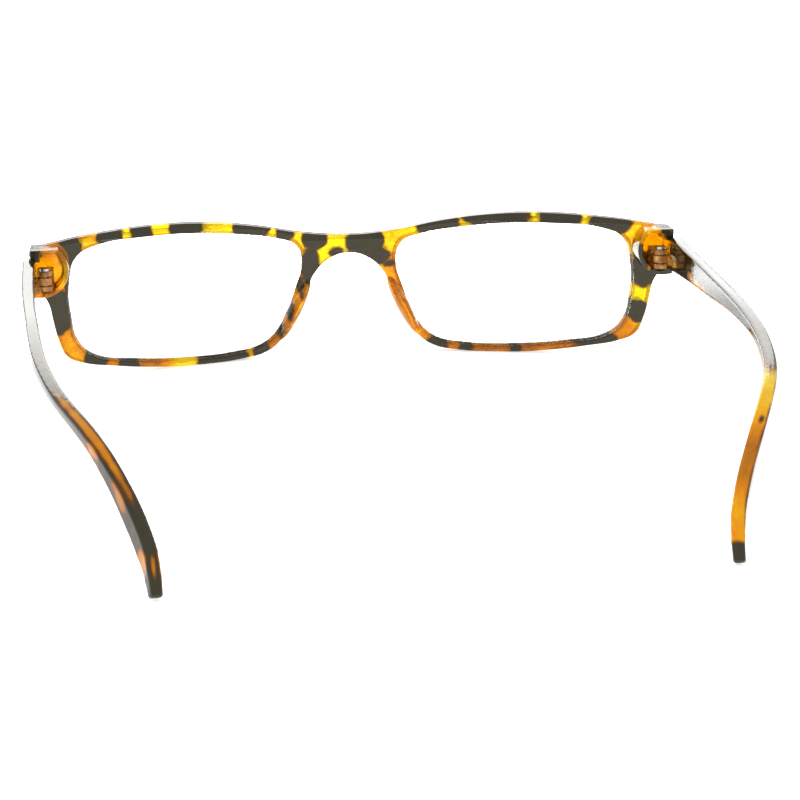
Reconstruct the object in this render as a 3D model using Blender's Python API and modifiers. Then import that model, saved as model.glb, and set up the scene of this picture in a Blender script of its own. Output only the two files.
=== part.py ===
"""Folding reading glasses in a tortoise plastic frame.

Metres, +Z up. The front faces -Y and the temples run back toward +Y. The wearer's left side is +X.
The glasses stand open on a table at z = 0, on both rims and both temple tips. Lengths below are in
millimetres, and MM turns them into metres.
"""

import math

import bmesh
import bpy
from mathutils import Matrix, Vector

MM = 0.001

# Front: a plate with this outline in x and z, bent to the wrap radius. Half of it is given, from the
# top of the bridge round the wearer's left lens to the arch over the nose. It is shaved flat at z = 0.
BRIDGE_Y = -66.7
WRAP_RADIUS = 135.0
FRONT_DEPTH = 2.8
EDGE_ROUND = 0.4
OUTLINE_STEPS = 4
FRONT_HALF = (
    (0.0, 26.8), (10.0, 27.6), (20.0, 29.6), (31.0, 31.1), (42.0, 31.6), (53.0, 31.2), (62.0, 30.4),
    (66.6, 29.4), (68.0, 27.6), (68.1, 24.5), (67.6, 21.6), (66.0, 20.1), (64.6, 17.6), (63.9, 14.0),
    (62.9, 9.3), (61.4, 5.7), (58.4, 3.9), (52.0, 2.2), (43.0, 0.6), (33.0, -0.1), (24.0, 0.3),
    (18.4, 1.5), (15.2, 4.0), (12.4, 9.0), (9.6, 14.4), (7.6, 18.4), (4.6, 21.4), (0.0, 22.8),
)

# Lens opening of the wearer's left side, and how the lens and its groove reach into the rim.
LENS_OPENING = (
    (10.4, 21.5), (11.7, 25.0), (15.5, 26.6), (24.0, 28.1), (34.0, 29.1), (45.0, 29.3), (54.0, 28.7),
    (58.5, 26.7), (60.3, 21.5), (60.3, 14.0), (59.2, 8.6), (56.0, 5.1), (48.0, 2.95), (36.0, 1.65),
    (26.0, 1.75), (19.0, 3.3), (15.2, 7.2), (12.2, 14.2),
)
LENS_REACH = 0.4
GROOVE_REACH = 0.8
LENS_DEPTH = 1.3
GROOVE_DEPTH = 1.9
LENS_STRIPS = 18

# Clear oval power label on the front of the wearer's left lens.
LABEL_CENTRE = (50.3, 19.5)
LABEL_SIZE = (10.9, 6.9)
LABEL_DEPTH = 0.15
LABEL_OFF_LENS = 0.06

# Nose pads, moulded on the rims: long rounded ridges behind each nose side.
PAD_CENTRE = (12.1, 10.5)
PAD_REAR = 1.0
PAD_LEAN = 27.0
PAD_HALF = (1.5, 3.3, 7.7)

# End piece: a half-disc boss behind the front's corner, cut flat at the top, with a pocket for the
# hinge and a rounded lip.
BOSS_CENTRE = (65.7, 25.5)
BOSS_RADIUS = 5.7
BOSS_START = 13.6
BOSS_REAR = 20.3
BOSS_OUTER = 67.6
BOSS_TOP = 29.8
POCKET_RADIUS = 4.7
POCKET_TOP = 28.9
POCKET_FLOOR = 15.2
POCKET_OUTER = ((65.5, 15.6, 21.2), (66.75, 25.0, 27.4))
HINGE_SEAT = ((62.9, 15.6, 21.2), (66.75, 25.0, 25.7))
ARM_NOTCH = ((66.0, 19.2, 22.4), (70.0, 25.0, 24.5))
LIP = ((63.2, 15.8, 28.0), (68.0, 20.2, 29.9))
LIP_ROUND = 0.8

# Hinge, on an upright axis: a front leaf with two knuckles, a temple leaf with one, and a screw.
HINGE_X = 64.9
HINGE_Y = 20.0
HINGE_Z = 23.45
KNUCKLE_RADIUS = 1.5
SCREW_HOLE = 0.85
TONGUE_HEIGHT = 1.5
EAR_HEIGHT = 1.0
GAP = 0.3
LEAF_BASE = ((63.2, 15.9, 21.5), (66.4, 17.0, 25.4))
EAR_PLAN = (63.2, 66.4)
SCREW_RADIUS = 0.55
SCREW_HEAD_RADIUS = 1.1
SCREW_HEAD_HEIGHT = 0.5
SLOT_WIDTH = 0.3
SLOT_DEPTH = 0.25

# Temple: stations of the middle of its top edge (x, y from the bridge, z), with width, height and the
# twist in degrees that lays the hook against the head. The tip is cut square, with its rim rounded.
TEMPLE_STATIONS = (
    (67.9, 21.0, 28.1, 2.6, 7.1, 0.0),
    (67.6, 36.0, 27.6, 2.5, 5.8, 0.0),
    (66.8, 52.0, 27.3, 2.5, 4.6, 0.0),
    (65.8, 66.0, 27.3, 2.4, 3.5, 0.0),
    (64.8, 79.0, 26.9, 2.4, 2.7, 0.0),
    (63.5, 90.0, 26.2, 2.4, 2.3, 0.0),
    (61.4, 101.0, 25.2, 2.4, 2.3, 8.0),
    (59.4, 108.0, 24.3, 2.4, 2.4, 13.0),
    (56.5, 115.0, 23.0, 2.4, 2.7, 11.0),
    (53.3, 121.0, 20.3, 2.4, 3.2, 10.0),
    (49.9, 126.0, 15.3, 2.4, 3.9, 9.0),
    (47.3, 130.0, 9.9, 2.4, 4.2, 3.0),
    (46.1, 133.0, 5.6, 2.3, 3.4, -8.0),
    (46.0, 135.6, 1.3, 2.0, 2.0, -16.0),
)
TEMPLE_CORNER = 0.5
STEPS_PER_STATION = 3
TIP_ROUND = 0.4
ARM_SLOT = ((65.8, 20.0, 22.3), (68.0, 26.6, 24.6))
ARM = ((66.1, 19.6, 22.7), (67.7, 26.2, 24.2))

MATERIALS = {
    "tortoise_plastic": ((0.62, 0.30, 0.06), 0.0, 0.12),
    "clear_lens": ((0.92, 0.94, 0.95), 0.0, 0.04),
    "hinge_plastic": ((0.55, 0.24, 0.05), 0.0, 0.25),
    "screw_steel": ((0.62, 0.61, 0.58), 1.0, 0.30),
    "label_film": ((0.95, 0.95, 0.93), 0.0, 0.20),
}


def clear_scene():
    for obj in list(bpy.data.objects):
        bpy.data.objects.remove(obj, do_unlink=True)


def new_collection(name, hidden=False):
    made = bpy.data.collections.new(name)
    bpy.context.scene.collection.children.link(made)
    made.hide_render = hidden
    return made


def new_material(name, colour, metallic, roughness):
    made = bpy.data.materials.new(name)
    made.use_nodes = True
    shader = made.node_tree.nodes["Principled BSDF"]
    shader.inputs["Base Color"].default_value = (*colour, 1.0)
    shader.inputs["Metallic"].default_value = metallic
    shader.inputs["Roughness"].default_value = roughness
    return made


def from_bmesh(bm, name):
    mesh = bpy.data.meshes.new(name)
    bmesh.ops.recalc_face_normals(bm, faces=bm.faces)
    bm.to_mesh(mesh)
    bm.free()
    return bpy.data.objects.new(name, mesh)


def box(name, low, high):
    """A box between two corners, in millimetres, with y counted from the bridge."""
    bm = bmesh.new()
    bmesh.ops.create_cube(bm, size=1.0)
    size = [b - a for a, b in zip(low, high)]
    middle = Vector([(a + b) / 2 for a, b in zip(low, high)]) + Vector((0, BRIDGE_Y, 0))
    bmesh.ops.transform(bm, matrix=Matrix.Diagonal((*size, 1.0)), verts=bm.verts)
    bmesh.ops.translate(bm, vec=middle, verts=bm.verts)
    bmesh.ops.scale(bm, vec=(MM, MM, MM), verts=bm.verts)
    return from_bmesh(bm, name)


def cylinder(name, start, end, radius, segments=32):
    """A cylinder from one point to another, in millimetres, with y counted from the bridge."""
    start, end = (Vector(p) + Vector((0, BRIDGE_Y, 0)) for p in (start, end))
    turn = (end - start).to_track_quat("Z", "Y").to_matrix().to_4x4()
    bm = bmesh.new()
    bmesh.ops.create_cone(
        bm, cap_ends=True, segments=segments, radius1=radius, radius2=radius, depth=(end - start).length,
        matrix=Matrix.Translation((start + end) / 2) @ turn,
    )
    bmesh.ops.scale(bm, vec=(MM, MM, MM), verts=bm.verts)
    return from_bmesh(bm, name)


def boolean(obj, other, operation):
    """Applies an EXACT Boolean of other to obj, and removes other."""
    cutters = bpy.data.collections["cutters"]
    cutters.objects.link(other)
    other.display_type = "WIRE"
    modifier = obj.modifiers.new(operation, "BOOLEAN")
    modifier.solver = "EXACT"
    modifier.operation = operation
    modifier.object = other
    apply_modifiers(obj)
    bpy.data.objects.remove(other, do_unlink=True)


def apply_modifiers(obj):
    placed = obj.name in bpy.context.scene.collection.all_objects
    if not placed:
        bpy.context.scene.collection.objects.link(obj)
    graph = bpy.context.evaluated_depsgraph_get()
    mesh = bpy.data.meshes.new_from_object(obj.evaluated_get(graph))
    obj.modifiers.clear()
    obj.data = mesh
    if not placed:
        bpy.context.scene.collection.objects.unlink(obj)


def bevel(obj, width, segments=2):
    modifier = obj.modifiers.new("bevel", "BEVEL")
    modifier.width = width * MM
    modifier.segments = segments
    modifier.limit_method = "ANGLE"
    modifier.angle_limit = math.radians(40)
    apply_modifiers(obj)
    return obj


def outline_plate(name, outlines, depth, rounding, resolution):
    """A flat plate across Y with smooth closed outlines, the later ones cut out of the first."""
    curve = bpy.data.curves.new(name, "CURVE")
    curve.dimensions = "2D"
    curve.fill_mode = "BOTH"
    curve.resolution_u = resolution
    curve.extrude = (depth / 2 - rounding) * MM
    curve.bevel_depth = rounding * MM
    curve.bevel_resolution = 1
    curve.offset = -rounding * MM
    for points in outlines:
        spline = curve.splines.new("BEZIER")
        spline.bezier_points.add(len(points) - 1)
        spline.use_cyclic_u = True
        for knot, (x, z) in zip(spline.bezier_points, points):
            knot.co = (x * MM, z * MM, 0.0)
            knot.handle_left_type = "AUTO"
            knot.handle_right_type = "AUTO"
    drawn = bpy.data.objects.new(name + "_curve", curve)
    bpy.context.scene.collection.objects.link(drawn)
    graph = bpy.context.evaluated_depsgraph_get()
    mesh = bpy.data.meshes.new_from_object(drawn.evaluated_get(graph))
    bpy.data.objects.remove(drawn, do_unlink=True)
    bm = bmesh.new()
    bm.from_mesh(mesh)
    bmesh.ops.remove_doubles(bm, verts=bm.verts, dist=1e-6)
    bmesh.ops.rotate(bm, cent=(0, 0, 0), matrix=Matrix.Rotation(math.radians(90), 3, "X"), verts=bm.verts)
    bmesh.ops.translate(bm, vec=(0, BRIDGE_Y * MM, 0), verts=bm.verts)
    return from_bmesh(bm, name)


def wrap_to_radius(obj):
    """Bends the flat shape back with the front's wrap: y grows as x squared over twice the radius."""
    for vertex in obj.data.vertices:
        vertex.co.y += vertex.co.x**2 / (2 * WRAP_RADIUS * MM)
    return obj


def wrapped_slab(name, low, high, front, depth):
    """A slab of even depth bent to the wrap, in strips across x. Its front is at y = front."""
    bm = bmesh.new()
    bmesh.ops.create_grid(bm, x_segments=LENS_STRIPS, y_segments=1, size=0.5)
    ends = [v.co.copy() for v in bm.verts]
    for vertex, at in zip(bm.verts, ends):
        x = (low[0] + high[0]) / 2 + at.x * (high[0] - low[0])
        z = (low[1] + high[1]) / 2 + at.y * (high[1] - low[1])
        vertex.co = Vector((x, BRIDGE_Y + front, z)) * MM
    sheet = bm.faces[:]
    made = bmesh.ops.extrude_face_region(bm, geom=sheet)
    moved = [g for g in made["geom"] if isinstance(g, bmesh.types.BMVert)]
    bmesh.ops.translate(bm, vec=(0, depth * MM, 0), verts=moved)
    return wrap_to_radius(from_bmesh(bm, name))


def grown(points, reach):
    """The outline scaled about its middle, so that each side moves out by reach."""
    spans = [(min(c), max(c)) for c in zip(*points)]
    middles = [(a + b) / 2 for a, b in spans]
    factors = [1 + 2 * reach / (b - a) for a, b in spans]
    return [tuple(m + (c - m) * f for c, m, f in zip(p, middles, factors)) for p in points]


def lens_blank(name, side, reach, depth):
    """A bent slab with the lens outline grown by reach, centred in the front's depth."""
    points = [(side * x, z) for x, z in grown(LENS_OPENING, reach)]
    xs, zs = zip(*points)
    blank = wrapped_slab(name, (min(xs) - 2, min(zs) - 2), (max(xs) + 2, max(zs) + 2), -depth / 2, depth)
    shape = outline_plate("shape", [points], 60.0, 0.0, OUTLINE_STEPS)
    boolean(blank, shape, "INTERSECT")
    return blank


def mirrored(low, high, side):
    """The box's corners on the given side: +1 is the wearer's left, -1 the right."""
    if side > 0:
        return low, high
    return (-high[0], low[1], low[2]), (-low[0], high[1], high[2])


def end_piece(side):
    """The boss behind the front's corner, with its lip, still without the pocket."""
    x, z = BOSS_CENTRE
    boss = cylinder("boss", (side * x, BOSS_START, z), (side * x, BOSS_REAR, z), BOSS_RADIUS, 48)
    square = (x, BOSS_START, z - BOSS_RADIUS + 0.2), (BOSS_OUTER + 0.5, BOSS_REAR, BOSS_TOP + 0.5)
    boolean(boss, box("square", *mirrored(*square, side)), "UNION")
    kept = mirrored((40.0, 0.0, 0.0), (BOSS_OUTER, 40.0, BOSS_TOP), side)
    boolean(boss, box("kept", *kept), "INTERSECT")
    lip = bevel(box("lip", *mirrored(*LIP, side)), LIP_ROUND, 3)
    boolean(boss, lip, "UNION")
    return boss


def cut_pocket(front, side):
    x, z = BOSS_CENTRE
    start, end = ((side * x, y, z) for y in (POCKET_FLOOR, BOSS_REAR + 4))
    pocket = cylinder("pocket", start, end, POCKET_RADIUS, 48)
    inner_half = mirrored((0.0, 0.0, 0.0), (x, 60.0, POCKET_TOP), side)
    boolean(pocket, box("inner_half", *inner_half), "INTERSECT")
    boolean(front, pocket, "DIFFERENCE")
    for name, corners in (("outer", POCKET_OUTER), ("hinge_seat", HINGE_SEAT), ("arm_notch", ARM_NOTCH)):
        boolean(front, box(name, *mirrored(*corners, side)), "DIFFERENCE")


def nose_pad(side):
    bm = bmesh.new()
    bmesh.ops.create_uvsphere(bm, u_segments=16, v_segments=12, radius=1.0)
    bmesh.ops.scale(bm, vec=PAD_HALF, verts=bm.verts)
    lean = Matrix.Rotation(math.radians(-side * PAD_LEAN), 3, "Y")
    bmesh.ops.rotate(bm, cent=(0, 0, 0), matrix=lean, verts=bm.verts)
    x, z = PAD_CENTRE
    bmesh.ops.translate(bm, vec=(side * x, BRIDGE_Y + PAD_REAR, z), verts=bm.verts)
    bmesh.ops.scale(bm, vec=(MM, MM, MM), verts=bm.verts)
    return from_bmesh(bm, "nose_pad")


def make_front():
    left = list(FRONT_HALF)
    right = [(-x, z) for x, z in reversed(left[1:-1])]
    openings = [[(side * x, z) for x, z in LENS_OPENING] for side in (1, -1)]
    front = wrap_to_radius(outline_plate("front_frame", [left + right, *openings], FRONT_DEPTH, EDGE_ROUND, OUTLINE_STEPS))
    for side in (1, -1):
        boolean(front, nose_pad(side), "UNION")
        boolean(front, end_piece(side), "UNION")
        cut_pocket(front, side)
        boolean(front, lens_blank("groove", side, GROOVE_REACH, GROOVE_DEPTH), "DIFFERENCE")
    boolean(front, box("table", (-80.0, -10.0, -5.0), (80.0, 40.0, 0.0)), "DIFFERENCE")
    return front


def make_lens(name, side):
    return lens_blank(name, side, LENS_REACH, LENS_DEPTH)


def make_label():
    x, z = LABEL_CENTRE
    wide, tall = LABEL_SIZE
    front = -LENS_DEPTH / 2 - LABEL_OFF_LENS - LABEL_DEPTH
    label = wrapped_slab("power_label", (x - wide, z - tall), (x + wide, z + tall), front, LABEL_DEPTH)
    oval = cylinder("oval", (x, -20.0, z), (x, 60.0, z), 1.0, 40)
    centre = Vector((x, BRIDGE_Y, z)) * MM
    shape = Matrix.Translation(centre) @ Matrix.Diagonal((wide / 2, 1.0, tall / 2, 1.0)) @ Matrix.Translation(-centre)
    oval.data.transform(shape)
    boolean(label, oval, "INTERSECT")
    return label


def knuckle(name, side, low, high):
    """One round hinge knuckle about the axis between two heights, not yet drilled."""
    return cylinder(name, (side * HINGE_X, HINGE_Y, low), (side * HINGE_X, HINGE_Y, high), KNUCKLE_RADIUS)


def drill(leaf, side):
    start, end = ((side * HINGE_X, HINGE_Y, z) for z in (HINGE_Z - 6, HINGE_Z + 6))
    boolean(leaf, cylinder("hole", start, end, SCREW_HOLE, 24), "DIFFERENCE")


def make_front_leaf(name, side):
    leaf = box(name, *mirrored(*LEAF_BASE, side))
    for direction in (1, -1):
        near = HINGE_Z + direction * (TONGUE_HEIGHT / 2 + GAP)
        low, high = sorted((near, near + direction * EAR_HEIGHT))
        arm = mirrored((EAR_PLAN[0], LEAF_BASE[1][1] - 0.2, low), (EAR_PLAN[1], HINGE_Y - 1.0, high), side)
        boolean(leaf, box("ear", *arm), "UNION")
        boolean(leaf, knuckle("knuckle", side, low, high), "UNION")
    drill(leaf, side)
    return leaf


def make_temple_leaf(name, side):
    low, high = HINGE_Z - TONGUE_HEIGHT / 2, HINGE_Z + TONGUE_HEIGHT / 2
    leaf = knuckle(name, side, low, high)
    boolean(leaf, box("arm", *mirrored(*ARM, side)), "UNION")
    drill(leaf, side)
    return leaf


def make_screw(name, side):
    top = HINGE_Z + TONGUE_HEIGHT / 2 + GAP + EAR_HEIGHT + 0.1
    bottom = HINGE_Z - TONGUE_HEIGHT / 2 - GAP - EAR_HEIGHT
    x, y = side * HINGE_X, HINGE_Y
    screw = cylinder(name, (x, y, bottom), (x, y, top + 0.1), SCREW_RADIUS, 20)
    head = cylinder("head", (x, y, top), (x, y, top + SCREW_HEAD_HEIGHT), SCREW_HEAD_RADIUS, 28)
    boolean(screw, head, "UNION")
    slot_low = (x - 2, y - SLOT_WIDTH / 2, top + SCREW_HEAD_HEIGHT - SLOT_DEPTH)
    slot_high = (x + 2, y + SLOT_WIDTH / 2, top + SCREW_HEAD_HEIGHT + 1)
    boolean(screw, box("slot", slot_low, slot_high), "DIFFERENCE")
    return screw


def between(stations, step, steps):
    """A smooth value between the two middle stations of four, as a Catmull-Rom curve passes."""
    a, b, c, d = stations
    t = step / steps
    return [
        0.5 * (2 * q + (r - p) * t + (2 * p - 5 * q + 4 * r - s) * t**2 + (3 * q - p - 3 * r + s) * t**3)
        for p, q, r, s in zip(a, b, c, d)
    ]


def smooth_stations(stations):
    first = [2 * a - b for a, b in zip(stations[0], stations[1])]
    last = [2 * a - b for a, b in zip(stations[-1], stations[-2])]
    padded = [first, *stations, last]
    rows = []
    for i in range(len(stations) - 1):
        rows += [between(padded[i : i + 4], step, STEPS_PER_STATION) for step in range(STEPS_PER_STATION)]
    return rows + [list(stations[-1])]


def rounded_section(width, height, corner):
    """Points round a rectangle that hangs from its top middle, with rounded corners."""
    points = []
    for cx, cz, start in ((1, 0, 90), (1, -1, 0), (-1, -1, -90), (-1, 0, -180)):
        middle = Vector((cx * (width / 2 - corner), -corner if cz == 0 else corner - height))
        for step in range(5):
            angle = math.radians(start - step * 22.5)
            points.append(middle + corner * Vector((math.cos(angle), math.sin(angle))))
    return points


def make_temple(name, side):
    rows = smooth_stations(TEMPLE_STATIONS)
    places = [Vector(row[:3]) for row in rows]
    bm = bmesh.new()
    rings = []
    for i, (x, y, z, width, height, twist) in enumerate(rows):
        along = (places[min(i + 1, len(rows) - 1)] - places[max(i - 1, 0)]).normalized()
        if i == 0:
            along = Vector((0, 1, 0))
        outward = Vector((along.y, -along.x, 0)).normalized()
        upward = outward.cross(along)
        turn = Matrix.Rotation(math.radians(twist), 3, along)
        outward, upward = turn @ outward, turn @ upward
        section = rounded_section(width, height, TEMPLE_CORNER)
        rings.append([places[i] + outward * q.x + upward * q.y for q in section])
    tip = rings[-1]
    middle = sum(tip, Vector()) / len(tip)
    for angle in (30, 60, 90):
        inset = TIP_ROUND * (1 - math.cos(math.radians(angle)))
        shift = along * TIP_ROUND * math.sin(math.radians(angle))
        rings.append([middle + (q - middle) * (1 - 2 * inset / min(width, height)) + shift for q in tip])
    layers = [[bm.verts.new((side * q.x * MM, (q.y + BRIDGE_Y) * MM, q.z * MM)) for q in ring] for ring in rings]
    count = len(layers[0])
    for near, far in zip(layers, layers[1:]):
        for j in range(count):
            bm.faces.new((near[j], near[(j + 1) % count], far[(j + 1) % count], far[j]))
    bm.faces.new(layers[0])
    bm.faces.new(layers[-1])
    temple = from_bmesh(bm, name)
    boolean(temple, box("arm_slot", *mirrored(*ARM_SLOT, side)), "DIFFERENCE")
    return temple


def finish(obj, collection, material, smooth_angle=35):
    collection.objects.link(obj)
    obj.data.materials.clear()
    obj.data.materials.append(material)
    limit = math.cos(math.radians(smooth_angle))
    bm = bmesh.new()
    bm.from_mesh(obj.data)
    bmesh.ops.triangulate(bm, faces=[f for f in bm.faces if len(f.verts) > 4])
    bmesh.ops.remove_doubles(bm, verts=bm.verts, dist=2e-6)
    bmesh.ops.dissolve_degenerate(bm, edges=bm.edges, dist=1e-6)
    for face in bm.faces:
        face.smooth = True
    for edge in bm.edges:
        edge.smooth = len(edge.link_faces) == 2 and edge.link_faces[0].normal.dot(edge.link_faces[1].normal) > limit
    bm.to_mesh(obj.data)
    bm.free()
    return obj


def hinge_axis(name, side, collection):
    """An empty on the hinge's axis that carries one temple and its leaf."""
    axis = bpy.data.objects.new(name, None)
    axis.location = Vector((side * HINGE_X, BRIDGE_Y + HINGE_Y, HINGE_Z)) * MM
    axis.empty_display_size = 0.01
    collection.objects.link(axis)
    return axis


def main():
    clear_scene()
    glasses = new_collection("reading_glasses")
    new_collection("cutters", hidden=True)
    looks = {name: new_material(name, *values) for name, values in MATERIALS.items()}
    finish(make_front(), glasses, looks["tortoise_plastic"])
    finish(make_label(), glasses, looks["label_film"])
    for word, side in (("left", 1), ("right", -1)):
        finish(make_lens(f"lens_{word}", side), glasses, looks["clear_lens"])
        finish(make_front_leaf(f"hinge_front_leaf_{word}", side), glasses, looks["hinge_plastic"])
        finish(make_screw(f"hinge_screw_{word}", side), glasses, looks["screw_steel"])
        axis = hinge_axis(f"hinge_axis_{word}", side, glasses)
        temple = finish(make_temple(f"temple_{word}", side), glasses, looks["tortoise_plastic"])
        leaf = finish(make_temple_leaf(f"hinge_temple_leaf_{word}", side), glasses, looks["hinge_plastic"])
        bpy.context.view_layer.update()
        for piece in (temple, leaf):
            piece.parent = axis
            piece.matrix_parent_inverse = axis.matrix_world.inverted()


main()
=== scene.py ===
"""Looks of the folding reading glasses: tortoise plastic, clear lenses, small hinges and a white studio.

Lengths are in millimetres, and MM turns them into the frame's metres. +X is the wearer's left, the front
faces -Y, and the glasses stand open on the floor at z = 0.
"""

import math

import bmesh
import bpy
import numpy as np
from mathutils import Matrix, Vector


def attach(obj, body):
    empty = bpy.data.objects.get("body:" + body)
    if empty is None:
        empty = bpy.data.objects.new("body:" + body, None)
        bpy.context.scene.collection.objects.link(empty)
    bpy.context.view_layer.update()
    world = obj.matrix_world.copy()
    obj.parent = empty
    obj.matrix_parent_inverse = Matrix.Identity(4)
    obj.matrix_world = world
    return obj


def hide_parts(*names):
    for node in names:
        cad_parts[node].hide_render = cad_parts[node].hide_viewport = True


MM = 0.001

# The camera is behind the glasses, a little to the wearer's left and above. Angles are in degrees.
CAMERA_AZIMUTH = 171.62
CAMERA_ELEVATION = 17.17
CAMERA_ROLL = -0.17
CAMERA_DISTANCE = 358.4
CAMERA_AIM = (-1.6, 0.0, 8.96)
CAMERA_LENS = 85.5
CAMERA_SENSOR = 36.0

# Moulded pieces are remeshed from their CAD nodes at this voxel, then smoothed so that edges turn soft.
# Each round of smoothing moves a vertex towards its neighbours' mean, then back out by a little more.
FRONT_VOXEL = 0.2
FRONT_ROUNDS = 8
TEMPLE_VOXEL = 0.25
TEMPLE_ROUNDS = 20
SMOOTH_STEPS = (0.5, -0.53)

# The value of a patch field well outside every patch.
FAR_OUTSIDE = -9.0

# Dark patches of the front, seen along Y: middle x and z, then half width and half height.
FRONT_DARK = (
    # wearer's left: top rim, from the end piece to the bridge
    (59.9, 28.4, 2.2, 3.6), (51.6, 30.5, 2.4, 3.0), (45.0, 30.8, 2.1, 3.0), (35.2, 30.5, 3.5, 3.0),
    (21.2, 29.4, 3.8, 3.2), (13.9, 28.2, 1.8, 2.4),
    # outer side and bottom rim
    (60.2, 21.0, 0.8, 6.5), (62.9, 15.6, 3.0, 4.8), (55.6, 4.4, 2.3, 2.6), (48.9, 2.0, 2.0, 2.6),
    (28.3, 0.8, 4.8, 2.2), (19.7, 1.8, 1.5, 2.4),
    # bridge and nose side
    (7.4, 25.9, 2.4, 1.9), (2.9, 23.0, 1.5, 0.9), (8.6, 20.4, 2.2, 3.6), (-3.6, 24.9, 4.0, 3.4),
    (-6.3, 22.0, 2.6, 2.0), (-8.9, 20.2, 1.3, 0.8),
    # lens side of the wearer's left nose pad
    (10.9, 15.5, 0.6, 1.9), (13.3, 10.5, 0.6, 1.9), (15.4, 6.6, 0.7, 1.6),
    # wearer's right: top rim
    (-19.1, 29.2, 4.4, 2.8), (-32.4, 30.6, 6.6, 2.8), (-45.2, 30.8, 4.2, 2.8), (-55.6, 30.0, 4.1, 2.8),
    # outer side and bottom rim
    (-62.6, 20.0, 2.8, 3.8), (-61.6, 11.0, 2.2, 2.4), (-53.2, 3.4, 4.3, 2.4), (-36.6, 0.8, 1.0, 1.0),
    (-25.8, 0.9, 1.2, 0.9), (-19.6, 1.6, 2.2, 2.2),
)

# The round bosses on the end pieces, with their own dark patches: the same four numbers. They lie more than
# BOSS_BEHIND further back than the bridge, which is the part within BRIDGE_HALF of the middle.
BOSS_MIDDLE = (65.7, 25.5)
BOSS_REACH = 5.9
BOSS_BEHIND = 15.0
BRIDGE_HALF = 4.0
BOSS_DARK = (
    (68.0, 29.2, 2.7, 2.2), (-67.6, 29.4, 2.6, 2.0), (-60.6, 22.6, 1.6, 4.2), (-65.2, 20.0, 4.2, 1.4),
)

# Places where the amber turns from yellow to orange and brown: middle x and z, half sizes and depth.
FRONT_WARM = (
    # wearer's left: bottom rim and its corner
    (45.2, 1.5, 3.4, 3.0, 0.85), (52.2, 2.6, 2.0, 2.6, 0.55), (60.0, 8.0, 4.0, 5.0, 0.4),
    # nose sides and bridge
    (16.0, 4.0, 4.0, 5.0, 0.8), (11.0, 13.0, 3.5, 7.0, 0.45), (12.0, 27.6, 3.0, 2.0, 0.2),
    (-12.0, 13.0, 4.0, 8.0, 0.7), (-10.0, 24.5, 4.0, 4.0, 0.3),
    # wearer's right: bottom rim and its corner
    (-22.0, 1.0, 9.0, 3.0, 0.75), (-40.0, 1.2, 14.0, 3.0, 0.9), (-59.0, 6.6, 2.4, 3.0, 0.55),
    # outer ends of the top rim, and the bosses
    (56.0, 29.5, 2.2, 2.5, 0.3), (-62.0, 29.5, 3.5, 2.0, 0.2), (66.0, 25.0, 5.5, 6.0, 0.4),
    (-66.0, 25.0, 5.5, 6.0, 0.4), (66.0, 28.8, 4.5, 1.8, 0.8), (66.0, 20.6, 4.5, 1.4, 0.7),
)
# The depth is full out to three quarters of the half sizes and gone at twice them.
WARM_START = 1.6
WARM_FALL = 0.8

# Temples: distance along from the hinge end, place across (+1 at the outer face) and up (+1 at the top),
# then three half sizes, the last two again in shares of the section. Light patches cut into the dark ones.
TEMPLE_DARK = {
    "left": (
        (40.0, 0.0, 1.3, 60.0, 4.0, 0.9), (4.0, 0.0, 0.0, 9.0, 4.0, 4.0), (28.0, 0.8, -0.2, 8.0, 1.6, 1.5),
        (48.0, -0.8, 0.3, 9.0, 1.5, 1.4), (70.0, 0.0, 0.2, 17.0, 4.0, 4.0),
        (109.0, 0.0, 0.0, 26.0, 4.0, 4.0),
    ),
    "right": (
        (36.0, 0.0, 0.7, 51.0, 3.5, 1.45), (35.0, -1.0, -1.0, 2.4, 1.0, 0.6),
        (59.0, -1.0, -1.0, 4.0, 1.0, 0.7), (8.0, 0.0, 0.0, 10.0, 4.0, 4.0), (92.0, 1.4, -0.2, 7.0, 0.5, 1.4),
        (106.0, 1.4, 0.0, 9.0, 0.5, 1.6), (118.0, 1.45, 0.0, 8.0, 0.6, 1.8),
        (104.0, 0.35, 1.0, 0.5, 0.2, 0.5), (129.4, 0.0, 0.0, 3.4, 4.0, 4.0),
    ),
}
TEMPLE_LIGHT = {
    "left": (
        (98.5, 0.25, 0.0, 16.0, 0.62, 4.0), (102.5, 1.5, 0.0, 2.7, 0.85, 1.2),
        (111.5, 1.5, 0.0, 4.6, 0.85, 1.2), (123.0, 1.4, 0.0, 3.0, 0.9, 1.2),
        (124.6, 0.0, 0.0, 1.9, 0.35, 4.0), (123.5, -1.0, 0.8, 3.0, 0.3, 0.6),
    ),
    "right": (
        (16.0, -1.0, -0.45, 2.2, 0.5, 0.35), (21.5, -1.0, -0.6, 2.6, 0.5, 0.3),
        (27.0, -1.0, -0.5, 1.4, 0.5, 0.3),
    ),
}
# A share of the section, across and up, is taken to be this long.
SHARE_ACROSS = 2.4
SHARE_UP = 3.5
# How warm the amber is along each temple: places along, then depths.
TEMPLE_WARM = {
    "left": (
        (0.0, 85.0, 92.0, 102.0, 112.0, 130.0),
        (0.5, 0.3, 0.4, 0.45, 0.45, 0.5),
    ),
    "right": (
        (0.0, 84.0, 92.0, 104.0, 109.0, 114.0, 119.0, 130.0),
        (0.6, 0.1, 0.1, 0.3, 0.85, 0.8, 0.38, 0.4),
    ),
}
# Strands run along each piece, because their noise changes this many times as fast that way.
FRONT_FLOW = 0.4
TEMPLE_FLOW = 0.3

# Tracing a temple's middle line, section by section.
TRACE_STEP = 0.5
TRACE_WALK = 0.98  # share of the step walked before a section is centred
TRACE_TURN = 0.3  # share of the direction that each section renews
SECTION_REACH = 9.0
END_FACE = 0.5  # depth of the hinge end's face
RIM_SECTIONS = 3  # sections in the tip's rounded rim, left out
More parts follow.
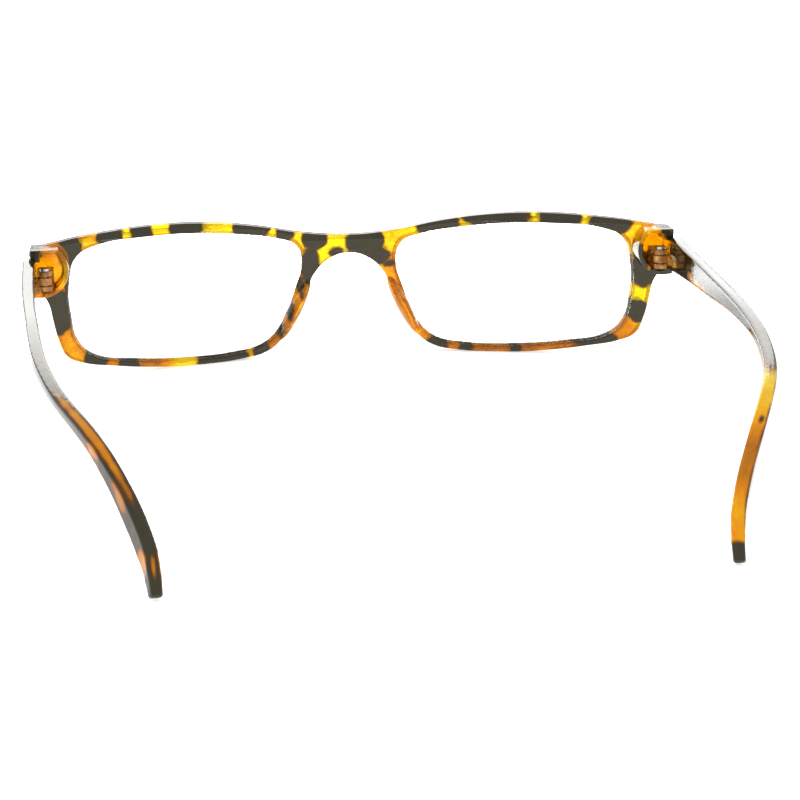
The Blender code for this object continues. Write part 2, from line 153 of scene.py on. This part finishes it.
# Laying a temple again along the smoothed line.
FAIR_SPREAD = 5  # of the smoothing, in steps
HINGE_END = 10.0  # kept as it is this far, then blended over as much again
OUTLINE_QUANTILE = 0.97  # of the places in a section, taken as its outline
OUTLINE_LEAST = 0.85
NEAREST_PARTS = 40  # points are matched in this many lots, to save memory

# The lenses: rings and sides of their mesh, the gap to the CAD outline, and how much thicker they are in the
# middle, as a share.
LENS_RINGS = 24
LENS_AROUND = 240
LENS_INSET = 0.02
LENS_SWELL = 0.25

# Colours of the tortoise plastic, and the tints of its gloss.
YELLOW = (1.0, 0.73, 0.0)
ORANGE = (0.84, 0.27, 0.0)
BROWN = (0.34, 0.095, 0.008)
EDGE_RED = (0.12, 0.022, 0.003)
DARK = (0.010, 0.0088, 0.001)
DARK_BROWN = (0.024, 0.014, 0.004)
AMBER_GLINT = (1.0, 0.85, 0.35)
DARK_GLINT = (1.0, 0.98, 0.80)

# The studio, in metres. The floor glows a little of its own, and more in front of the glasses, which lights
# the amber from behind as the camera sees it. Its glow changes between the two places along Y.
WORLD_RADIANCE = 1.0
FLOOR_HALF = 4.0
FLOOR_BELOW = 0.00005
FLOOR_GLOW_NEAR = 0.55
FLOOR_GLOW_FAR = 2.6
FLOOR_GLOW_FROM = (-0.125, -0.100)
SOFTBOX_PLACE = (-0.05, -1.2, 0.60)
SOFTBOX_TARGET = (0.0, 0.0, 0.03)
SOFTBOX_SIZE = (1.4, 0.62)
SOFTBOX_RADIANCE = 2.5


# ---------- shader helpers ----------


def new_material(name):
    material = bpy.data.materials.new(name)
    material.use_nodes = True
    tree = material.node_tree
    shader = tree.nodes["Principled BSDF"]
    return material, tree, shader


def node(tree, kind, inputs=None, **settings):
    """Adds a node. Inputs may be plain values or the sockets that feed them."""
    made = tree.nodes.new(kind)
    for key, value in settings.items():
        setattr(made, key, value)
    for key, value in (inputs or {}).items():
        if isinstance(value, bpy.types.NodeSocket):
            tree.links.new(value, made.inputs[key])
        else:
            made.inputs[key].default_value = value
    return made


def math_node(tree, operation, first, second, clamp=False):
    inputs = {0: first, 1: second}
    return node(tree, "ShaderNodeMath", inputs, operation=operation, use_clamp=clamp).outputs[0]


def added(tree, first, second, share=1.0, clamp=False):
    """The first value plus a share of the second."""
    if share != 1.0:
        second = math_node(tree, "MULTIPLY", second, share)
    return math_node(tree, "ADD", first, second, clamp)


def centred_noise(tree, place, scale, detail, roughness, distortion):
    """Noise from about -0.5 to 0.5."""
    inputs = {"Vector": place, "Scale": scale, "Detail": detail, "Roughness": roughness}
    noise = node(tree, "ShaderNodeTexNoise", {**inputs, "Distortion": distortion}).outputs["Fac"]
    return math_node(tree, "SUBTRACT", noise, 0.5)


def object_noise(tree, scale, detail=3.0, roughness=0.55, stretch=(1, 1, 1), distortion=0.0):
    """Centred noise in the piece's own space."""
    place = node(tree, "ShaderNodeTexCoord").outputs["Object"]
    mapped = node(tree, "ShaderNodeMapping", {"Vector": place, "Scale": stretch}).outputs[0]
    return centred_noise(tree, mapped, scale, detail, roughness, distortion)


def flow_noise(tree, scale, detail, roughness=0.6, distortion=0.0):
    """Centred noise that runs in strands along each piece, read in its own vertex field flow."""
    place = node(tree, "ShaderNodeAttribute", attribute_name="flow").outputs["Vector"]
    return centred_noise(tree, place, scale, detail, roughness, distortion)


def ramp(tree, factor, stops):
    """A colour read between stops, which are a position and a colour each."""
    made = node(tree, "ShaderNodeValToRGB", {"Fac": factor})
    elements = made.color_ramp.elements
    while len(elements) < len(stops):
        elements.new(0.5)
    for element, (position, colour) in zip(elements, stops):
        element.position = position
        element.color = (*colour, 1.0)
    return made.outputs["Color"]


def noise_ramp(tree, noise, *stops):
    """A colour that follows centred noise."""
    return ramp(tree, added(tree, noise, 0.5), stops)


def mix_colours(tree, factor, first, second):
    """Goes from the first colour, a socket, to the second, a socket or a plain colour."""
    made = node(tree, "ShaderNodeMix", {"Factor": factor}, data_type="RGBA")
    from_socket, to_socket = (socket for socket in made.inputs if socket.type == "RGBA")
    tree.links.new(first, from_socket)
    if isinstance(second, bpy.types.NodeSocket):
        tree.links.new(second, to_socket)
    else:
        to_socket.default_value = (*second, 1.0)
    return next(socket for socket in made.outputs if socket.type == "RGBA")


def add_bump(tree, shader, height, strength, distance):
    bump = node(tree, "ShaderNodeBump", {"Height": height, "Strength": strength, "Distance": distance})
    tree.links.new(bump.outputs["Normal"], shader.inputs["Normal"])


def map_range(tree, value, low, high, to_low=0.0, to_high=1.0):
    inputs = {"Value": value, "From Min": low, "From Max": high, "To Min": to_low, "To Max": to_high}
    return node(tree, "ShaderNodeMapRange", inputs).outputs["Result"]


# ---------- materials ----------


def tortoise_material(name, wandering, softness, streaks, clearness):
    """Polished amber plastic with dark patches, which come from the vertex fields dark and warm.

    Dark is in millimetres inside a patch, and warm goes from 0 to 1. The patches' edges wander by about a
    quarter of wandering, in millimetres, and softness widens them. Streaks is how strongly the amber is
    streaked, and clearness is the share of light that passes through it.
    """
    material, tree, shader = new_material(name)
    dark = node(tree, "ShaderNodeAttribute", attribute_name="dark").outputs["Fac"]
    warm = node(tree, "ShaderNodeAttribute", attribute_name="warm").outputs["Fac"]
    edge = added(tree, dark, object_noise(tree, 280, 2.0), wandering)
    edge = added(tree, edge, flow_noise(tree, 1300, 3.0), 0.35)
    cover = map_range(tree, edge, -0.5 * softness, 0.15 * softness)

    streaky = map_range(tree, warm, 0.0, 1.0, 0.5 * streaks, 1.8 * streaks)
    depth = added(tree, warm, math_node(tree, "MULTIPLY", flow_noise(tree, 1100, 5.0, 0.65, 0.6), streaky))
    depth = added(tree, depth, flow_noise(tree, 3200, 2.0), 0.4 * streaks)
    depth = added(tree, depth, object_noise(tree, 170, 3.0, 0.6), 0.5, clamp=True)
    amber = ramp(tree, depth, ((0.0, YELLOW), (0.45, ORANGE), (1.0, BROWN)))

    dark_tone = noise_ramp(tree, flow_noise(tree, 420, 4.0, 0.6), (0.35, DARK), (0.75, DARK_BROWN))
    border = map_range(tree, cover, 0.0, 0.7)
    covered = map_range(tree, cover, 0.6, 1.0)
    colour = mix_colours(tree, covered, mix_colours(tree, border, amber, EDGE_RED), dark_tone)
    tree.links.new(colour, shader.inputs["Base Color"])
    glint = ramp(tree, covered, ((0.0, AMBER_GLINT), (1.0, DARK_GLINT)))
    tree.links.new(glint, shader.inputs["Specular Tint"])

    clear = map_range(tree, cover, 0.0, 0.9, clearness, 0.0)
    tree.links.new(clear, shader.inputs["Transmission Weight"])
    haze = map_range(tree, object_noise(tree, 900, 4.0), -0.3, 0.3, 0.05, 0.11)
    tree.links.new(haze, shader.inputs["Roughness"])
    shader.inputs["IOR"].default_value = 1.52
    uneven = added(tree, object_noise(tree, 110, 2.0, 0.4), object_noise(tree, 2600, 2.0), 0.05)
    add_bump(tree, shader, uneven, 0.10, 0.0004)
    return material


def hinge_material():
    """The hinge leaves' amber-brown plastic, mottled with darker streaks."""
    material, tree, shader = new_material("hinge_amber")
    mottle = math_node(tree, "MULTIPLY", object_noise(tree, 750, 4.0, 0.6, (1, 1, 0.6), 0.8), 1.5)
    stops = (0.2, (0.12, 0.035, 0.008)), (0.5, (0.55, 0.22, 0.03)), (0.8, (0.95, 0.58, 0.14))
    colour = noise_ramp(tree, mottle, *stops)
    tree.links.new(colour, shader.inputs["Base Color"])
    worn = map_range(tree, object_noise(tree, 2400, 3.0), -0.3, 0.3, 0.16, 0.34)
    tree.links.new(worn, shader.inputs["Roughness"])
    shader.inputs["Transmission Weight"].default_value = 0.35
    add_bump(tree, shader, object_noise(tree, 3000, 3.0), 0.25, 0.0001)
    return material


def steel_material():
    """Turned steel, finely streaked along the screw, with a little tarnish."""
    material, tree, shader = new_material("screw_steel")
    stops = (0.3, (0.40, 0.37, 0.32)), (0.7, (0.74, 0.72, 0.68))
    colour = noise_ramp(tree, object_noise(tree, 1800, 4.0), *stops)
    tree.links.new(colour, shader.inputs["Base Color"])
    shader.inputs["Metallic"].default_value = 1.0
    brushed = object_noise(tree, 5200, 2.0, 0.5, (1, 1, 0.1))
    tree.links.new(map_range(tree, brushed, -0.3, 0.3, 0.2, 0.42), shader.inputs["Roughness"])
    add_bump(tree, shader, brushed, 0.2, 0.00005)
    return material


def lens_material():
    """Clear polished lens, with a trace of haze and fine wipe marks in its gloss."""
    material, tree, shader = new_material("clear_lens")
    stops = (0.2, (0.975, 0.985, 0.985)), (0.8, (0.992, 0.995, 0.998))
    tint = noise_ramp(tree, object_noise(tree, 25, 2.0), *stops)
    tree.links.new(tint, shader.inputs["Base Color"])
    wiped = object_noise(tree, 900, 4.0, 0.6, (0.15, 1.0, 1.0))
    tree.links.new(map_range(tree, wiped, -0.3, 0.4, 0.0, 0.02), shader.inputs["Roughness"])
    shader.inputs["Transmission Weight"].default_value = 1.0
    shader.inputs["IOR"].default_value = 1.49
    return material


def label_material():
    """The thin clear film, slightly milky and wrinkled."""
    material, tree, shader = new_material("label_film")
    milk = object_noise(tree, 500, 3.0)
    colour = noise_ramp(tree, milk, (0.3, (0.66, 0.66, 0.65)), (0.7, (0.80, 0.80, 0.79)))
    tree.links.new(colour, shader.inputs["Base Color"])
    tree.links.new(map_range(tree, milk, -0.3, 0.3, 0.12, 0.3), shader.inputs["Roughness"])
    shader.inputs["Transmission Weight"].default_value = 0.96
    shader.inputs["IOR"].default_value = 1.45
    add_bump(tree, shader, object_noise(tree, 700, 2.0, 0.5, (1, 1, 0.3)), 0.2, 0.00005)
    return material


def floor_material():
    """Matt white paper that glows, more so in front of the glasses than under and behind them."""
    material, tree, shader = new_material("floor_white")
    tone = object_noise(tree, 3.0, 2.0)
    colour = noise_ramp(tree, tone, (0.0, (0.93, 0.93, 0.93)), (1.0, (0.95, 0.95, 0.95)))
    tree.links.new(colour, shader.inputs["Base Color"])
    shader.inputs["Roughness"].default_value = 0.9
    shader.inputs["Specular IOR Level"].default_value = 0.1
    tree.links.new(colour, shader.inputs["Emission Color"])
    place = node(tree, "ShaderNodeTexCoord").outputs["Object"]
    behind = node(tree, "ShaderNodeSeparateXYZ", {0: place}).outputs["Y"]
    glow = map_range(tree, behind, *FLOOR_GLOW_FROM, FLOOR_GLOW_FAR, FLOOR_GLOW_NEAR)
    tree.links.new(glow, shader.inputs["Emission Strength"])
    return material


# ---------- meshes ----------


def evaluated_mesh(obj):
    """The object's mesh with its modifiers applied."""
    graph = bpy.context.evaluated_depsgraph_get()
    return bpy.data.meshes.new_from_object(obj.evaluated_get(graph))


def positions(mesh):
    """The mesh's vertices as rows, in its own units of metres."""
    flat = np.empty(len(mesh.vertices) * 3)
    mesh.vertices.foreach_get("co", flat)
    return flat.reshape(-1, 3)


def soften(mesh, rounds):
    """Smooths with alternate steps in and out, which turns edges soft and keeps the piece's size."""
    at = positions(mesh)
    ends = np.empty(len(mesh.edges) * 2, int)
    mesh.edges.foreach_get("vertices", ends)
    a, b = ends.reshape(-1, 2).T
    count = np.bincount(ends, minlength=len(at))[:, None]
    for _ in range(rounds):
        for step in SMOOTH_STEPS:
            sums = [np.bincount(a, at[b, i], len(at)) + np.bincount(b, at[a, i], len(at)) for i in range(3)]
            at = at + step * (np.stack(sums, 1) / count - at)
    mesh.vertices.foreach_set("co", at.ravel())
    mesh.update()


def moulded(name, cad_node, voxel, rounds):
    """A finely meshed copy of a CAD node with its edges softened, as moulded plastic has them."""
    piece = bpy.data.objects.new(name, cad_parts[cad_node].data.copy())
    bpy.context.scene.collection.objects.link(piece)
    remesh = piece.modifiers.new("remesh", "REMESH")
    remesh.mode = "VOXEL"
    remesh.voxel_size = voxel * MM
    mesh = evaluated_mesh(piece)
    piece.modifiers.clear()
    piece.data = mesh
    soften(mesh, rounds)
    mesh.shade_smooth()
    return piece


def add_field(mesh, name, values):
    mesh.attributes.new(name, "FLOAT", "POINT").data.foreach_set("value", values.astype(np.float32))


def add_flow(mesh, places):
    """The places, in millimetres, that the strands in the plastic are read at."""
    mesh.attributes.new("flow", "FLOAT_VECTOR", "POINT").data.foreach_set("vector", (places * MM).ravel())


def share_out(offsets, halves):
    """How far out each point is from the middle of an ellipse or ellipsoid: 1 on its outline."""
    return np.sqrt(sum((offset / half) ** 2 for offset, half in zip(offsets, halves)))


def front_fields(mesh):
    """Lays the front's patches, which go right through it except on the bosses.

    Dark is about how far each point is inside the nearest patch, in millimetres, and negative outside.
    """
    x, y, z = positions(mesh).T / MM
    behind = y - np.median(y[np.abs(x) < BRIDGE_HALF])
    reach = np.hypot(np.abs(x) - BOSS_MIDDLE[0], z - BOSS_MIDDLE[1])
    on_boss = (behind > BOSS_BEHIND) & ((reach < BOSS_REACH) | (np.abs(x) > BOSS_MIDDLE[0]))
    dark = np.full(len(x), FAR_OUTSIDE)
    for patches, wanted in ((FRONT_DARK, ~on_boss), (BOSS_DARK, on_boss)):
        for cx, cz, half_x, half_z in patches:
            inside = (1 - share_out((x - cx, z - cz), (half_x, half_z))) * min(half_x, half_z)
            dark = np.maximum(dark, np.where(wanted, inside, FAR_OUTSIDE))
    warm = np.zeros(len(x))
    for cx, cz, half_x, half_z, depth in FRONT_WARM:
        out = share_out((x - cx, z - cz), (half_x, half_z))
        warm = np.maximum(warm, depth * np.clip(WARM_START - WARM_FALL * out, 0, 1))
    add_field(mesh, "dark", dark)
    add_field(mesh, "warm", warm)
    add_flow(mesh, np.stack((FRONT_FLOW * x, y, z), 1))


def section_at(points, ends, middle, way, side):
    """The CAD temple's section across way at middle: its true middle, and half its width and height."""
    a, b = points[ends[:, 0]], points[ends[:, 1]]
    near_a, near_b = (a - middle) @ way, (b - middle) @ way
    cut = (near_a * near_b < 0) & (np.linalg.norm(a - middle, axis=1) < SECTION_REACH)
    share = (near_a[cut] / (near_a[cut] - near_b[cut]))[:, None]
    outline = a[cut] + share * (b[cut] - a[cut])
    axes = section_axes(way, side)
    reach = (outline - middle) @ axes.T
    if len(reach) < 3:
        return None
    low, high = reach.min(0), reach.max(0)
    return middle + (low + high) / 2 @ axes, (high - low) / 2


def section_axes(way, side):
    """Unit directions outward and upward, square to the way the temple runs."""
    outward = side * np.array((way[1], -way[0], 0.0))
    outward /= np.linalg.norm(outward)
    upward = side * np.cross(outward, way)
    return np.array((outward, upward))


def trace_temple(points, ends, side):
    """Walks from the hinge end towards the tip: the sections' middles and half sizes at even steps."""
    end_y = points[:, 1].min()
    middle = points[points[:, 1] < end_y + END_FACE].mean(0)
    middle[1] = end_y
    way = np.array((0.0, 1.0, 0.0))
    middles, halves = [], []
    while True:
        found = section_at(points, ends, middle + way * TRACE_STEP * TRACE_WALK, way, side)
        if found is None:
            break
        if middles:
            step = found[0] - middles[-1]
            way = (1 - TRACE_TURN) * way + TRACE_TURN * step / np.linalg.norm(step)
            way /= np.linalg.norm(way)
        middle = found[0]
        middles.append(found[0])
        halves.append(found[1])
    return np.array(middles[:-RIM_SECTIONS]), np.array(halves[:-RIM_SECTIONS])


def smoothed(rows, spread):
    """Each column averaged with its neighbours, the ends carried straight on."""
    reach = 3 * spread
    weights = np.exp(-0.5 * (np.arange(-reach, reach + 1) / spread) ** 2)
    weights /= weights.sum()
    count = np.arange(1, reach + 1)[:, None]
    before = rows[0] - count[::-1] * (rows[spread] - rows[0]) / spread
    after = rows[-1] + count * (rows[-1] - rows[-1 - spread]) / spread
    long = np.concatenate((before, rows, after))
    return np.stack([np.convolve(column, weights, "valid") for column in long.T], 1)


def directions(middles, side):
    """Unit directions along the middle line, and outward and upward from it."""
    ways = np.gradient(middles, axis=0)
    ways /= np.linalg.norm(ways, axis=1)[:, None]
    return ways, np.array([section_axes(way, side) for way in ways])


def temple_places(points, middles, halves, side):
    """Each point's place along, in steps, and its places across and up in shares of the section."""
    ways, axes = directions(middles, side)
    parts = np.array_split(points, NEAREST_PARTS)
    nearest = np.concatenate([np.argmin(((part[:, None] - middles) ** 2).sum(2), axis=1) for part in parts])
    offset = points - middles[nearest]
    spacing = np.linalg.norm(np.gradient(middles, axis=0), axis=1)
    along = nearest + (offset * ways[nearest]).sum(1) / spacing[nearest]
    centre, half = between(middles, along), between(halves, along)
    turned = between(axes.reshape(-1, 6), along).reshape(-1, 2, 3)
    reach = np.einsum("nij,nj->ni", turned, points - centre)
    return along, reach / half


def between(rows, along):
    """Rows read at places between them, carried straight on past the ends."""
    low = np.clip(along.astype(int), 0, len(rows) - 2)
    share = (along - low)[:, None]
    return rows[low] * (1 - share) + rows[low + 1] * share


def temple_piece(word):
    """The temple's moulded mesh, laid again along a smoothed middle line, which bends without facets."""
    side = 1 if word == "left" else -1
    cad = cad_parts[f"temple_{word}"].data
    ends = np.empty(len(cad.edges) * 2, int)
    cad.edges.foreach_get("vertices", ends)
    middles, halves = trace_temple(positions(cad) / MM, ends.reshape(-1, 2), side)
    piece = moulded(f"temple_shell_{word}", f"temple_{word}", TEMPLE_VOXEL, TEMPLE_ROUNDS)
    points = positions(piece.data) / MM
    along, shares = temple_places(points, middles, halves, side)
    shares /= np.clip(np.quantile(np.abs(shares), OUTLINE_QUANTILE, axis=0), OUTLINE_LEAST, 1.0)
    fair_middles, fair_halves = smoothed(middles, FAIR_SPREAD), smoothed(halves, FAIR_SPREAD)
    _, axes = directions(fair_middles, side)
    turned = between(axes.reshape(-1, 6), along).reshape(-1, 2, 3)
    reach = np.einsum("ni,nij->nj", shares * between(fair_halves, along), turned)
    laid = between(fair_middles, along) + reach
    blend = np.clip((along * TRACE_STEP - HINGE_END) / HINGE_END, 0, 1)[:, None]
    piece.data.vertices.foreach_set("co", ((points * (1 - blend) + laid * blend) * MM).ravel())
    piece.data.update()
    along_mm = along * TRACE_STEP
    dark = patch_field(TEMPLE_DARK[word], along_mm, shares)
    light = patch_field(TEMPLE_LIGHT[word], along_mm, shares)
    add_field(piece.data, "dark", np.minimum(dark, -light))
    add_field(piece.data, "warm", np.interp(along_mm, *TEMPLE_WARM[word]))
    add_flow(piece.data, np.column_stack((TEMPLE_FLOW * along_mm, shares * between(halves, along))))
    return piece


def patch_field(patches, along, shares):
    """About how far each point is inside the nearest of a temple's patches, in millimetres."""
    field = np.full(len(along), FAR_OUTSIDE)
    for at, across, up, half, half_across, half_up in patches:
        offsets = along - at, shares[:, 0] - across, shares[:, 1] - up
        inside = 1 - share_out(offsets, (half, half_across, half_up))
        field = np.maximum(field, inside * min(half, SHARE_ACROSS * half_across, SHARE_UP * half_up))
    return field


def lens_piece(name, cad_node):
    """A smooth lens inside its CAD outline: a bent slab, thickest in the middle."""
    at = positions(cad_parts[cad_node].data) / MM
    middle = (at.min(0) + at.max(0)) / 2
    turn = np.arctan2(at[:, 2] - middle[2], at[:, 0] - middle[0])
    reach = np.hypot(at[:, 2] - middle[2], at[:, 0] - middle[0])
    angles = np.linspace(-math.pi, math.pi, LENS_AROUND, endpoint=False)
    order = np.argsort(turn)
    radius = np.interp(angles, turn[order], reach[order], period=2 * math.pi)
    bend = np.polyfit(at[:, 0], at[:, 1], 2)
    half = (at[:, 1] - np.polyval(bend, at[:, 0])).max() - LENS_INSET
    bm = bmesh.new()

    def vertex(x, z, out):
        return bm.verts.new(Vector((x, np.polyval(bend, x) + out, z)) * MM)

    pairs = list(zip(range(LENS_AROUND), [*range(1, LENS_AROUND), 0]))
    rims = []
    for front in (-1, 1):
        loops = []
        for ring in range(1, LENS_RINGS + 1):
            share = math.sin(math.pi / 2 * ring / LENS_RINGS)
            out = front * half * (1 + LENS_SWELL * (1 - share**2))
            xs = middle[0] + share * (radius - LENS_INSET) * np.cos(angles)
            zs = middle[2] + share * (radius - LENS_INSET) * np.sin(angles)
            loops.append([vertex(x, z, out) for x, z in zip(xs, zs)])
        hub = vertex(middle[0], middle[2], front * half * (1 + LENS_SWELL))
        for i, j in pairs:
            bm.faces.new((hub, loops[0][i], loops[0][j]))
            for near, far in zip(loops, loops[1:]):
                bm.faces.new((near[i], far[i], far[j], near[j]))
        rims.append(loops[-1])
    for i, j in pairs:
        bm.faces.new((rims[0][i], rims[1][i], rims[1][j], rims[0][j]))
    bmesh.ops.recalc_face_normals(bm, faces=bm.faces)
    piece = finished(bm, name)
    piece.data.shade_smooth()
    return piece


def finished(bm, name):
    """Ends a bmesh and puts it in the scene as an object."""
    mesh = bpy.data.meshes.new(name)
    bm.to_mesh(mesh)
    bm.free()
    piece = bpy.data.objects.new(name, mesh)
    bpy.context.scene.collection.objects.link(piece)
    return piece


def wear(obj, material):
    obj.data.materials.clear()
    obj.data.materials.append(material)


# ---------- studio ----------


def build_softbox():
    """A soft rectangular light beyond the glasses, its power worked out from how bright it should look."""
    light = bpy.data.lights.new("back_softbox", "AREA")
    light.shape = "RECTANGLE"
    light.size, light.size_y = SOFTBOX_SIZE
    light.energy = SOFTBOX_RADIANCE * math.pi * light.size * light.size_y
    lamp = bpy.data.objects.new("back_softbox", light)
    lamp.location = SOFTBOX_PLACE
    lamp.rotation_euler = (Vector(SOFTBOX_TARGET) - lamp.location).to_track_quat("-Z", "Y").to_euler()
    lamp.visible_camera = False
    bpy.context.scene.collection.objects.link(lamp)


def build_studio():
    scene = bpy.context.scene
    scene.view_settings.view_transform = "Standard"
    world = bpy.data.worlds.new("studio")
    scene.world = world
    world.use_nodes = True
    background = world.node_tree.nodes["Background"]
    background.inputs["Color"].default_value = (1.0, 1.0, 1.0, 1.0)
    background.inputs["Strength"].default_value = WORLD_RADIANCE
    build_softbox()

    bm = bmesh.new()
    bmesh.ops.create_grid(bm, x_segments=8, y_segments=8, size=FLOOR_HALF)
    floor = finished(bm, "floor")
    floor.location.z = -FLOOR_BELOW
    wear(floor, floor_material())


def build_camera():
    azimuth, elevation = math.radians(CAMERA_AZIMUTH), math.radians(CAMERA_ELEVATION)
    level = math.cos(elevation)
    back = Vector((math.sin(azimuth) * level, -math.cos(azimuth) * level, math.sin(elevation)))
    lens = bpy.data.cameras.new("camera")
    lens.lens = CAMERA_LENS
    lens.sensor_width = CAMERA_SENSOR
    lens.clip_start = 0.01
    camera = bpy.data.objects.new("camera", lens)
    turn = back.to_track_quat("Z", "Y").to_matrix() @ Matrix.Rotation(math.radians(CAMERA_ROLL), 3, "Z")
    camera.rotation_euler = turn.to_euler()
    camera.location = (Vector(CAMERA_AIM) + back * CAMERA_DISTANCE) * MM
    bpy.context.scene.collection.objects.link(camera)
    bpy.context.scene.camera = camera


# ---------- the object ----------


def build_front(tortoise):
    front = moulded("front_shell", "front_frame", FRONT_VOXEL, FRONT_ROUNDS)
    front_fields(front.data)
    wear(front, tortoise)
    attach(front, "front")
    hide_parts("front_frame")


def build_temples(tortoise):
    for word in ("left", "right"):
        temple = temple_piece(word)
        wear(temple, tortoise)
        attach(temple, f"temple_{word}")
        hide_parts(f"temple_{word}")


def build_lenses():
    clear = lens_material()
    for word in ("left", "right"):
        lens = lens_piece(f"lens_clear_{word}", f"lens_{word}")
        wear(lens, clear)
        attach(lens, "front")
        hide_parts(f"lens_{word}")


def dress_small_nodes():
    """Gives the hinges, screws and label, whose CAD shapes are kept, their materials."""
    amber = hinge_material()
    steel = steel_material()
    for stem, look in (("hinge_front_leaf", amber), ("hinge_temple_leaf", amber), ("hinge_screw", steel)):
        for word in ("left", "right"):
            wear(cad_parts[f"{stem}_{word}"], look)
    wear(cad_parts["power_label"], label_material())


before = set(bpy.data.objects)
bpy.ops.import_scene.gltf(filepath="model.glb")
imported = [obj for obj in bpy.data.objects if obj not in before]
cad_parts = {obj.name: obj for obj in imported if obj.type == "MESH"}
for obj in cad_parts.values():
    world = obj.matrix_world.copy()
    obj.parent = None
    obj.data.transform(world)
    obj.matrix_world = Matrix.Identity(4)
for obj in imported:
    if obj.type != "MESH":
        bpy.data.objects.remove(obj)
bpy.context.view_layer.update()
build_camera()
build_studio()
build_front(tortoise_material("tortoise_front", wandering=2.0, softness=1.0, streaks=1.0, clearness=0.6))
build_temples(tortoise_material("tortoise_temple", wandering=0.9, softness=1.5, streaks=0.3, clearness=0.25))
build_lenses()
dress_small_nodes()
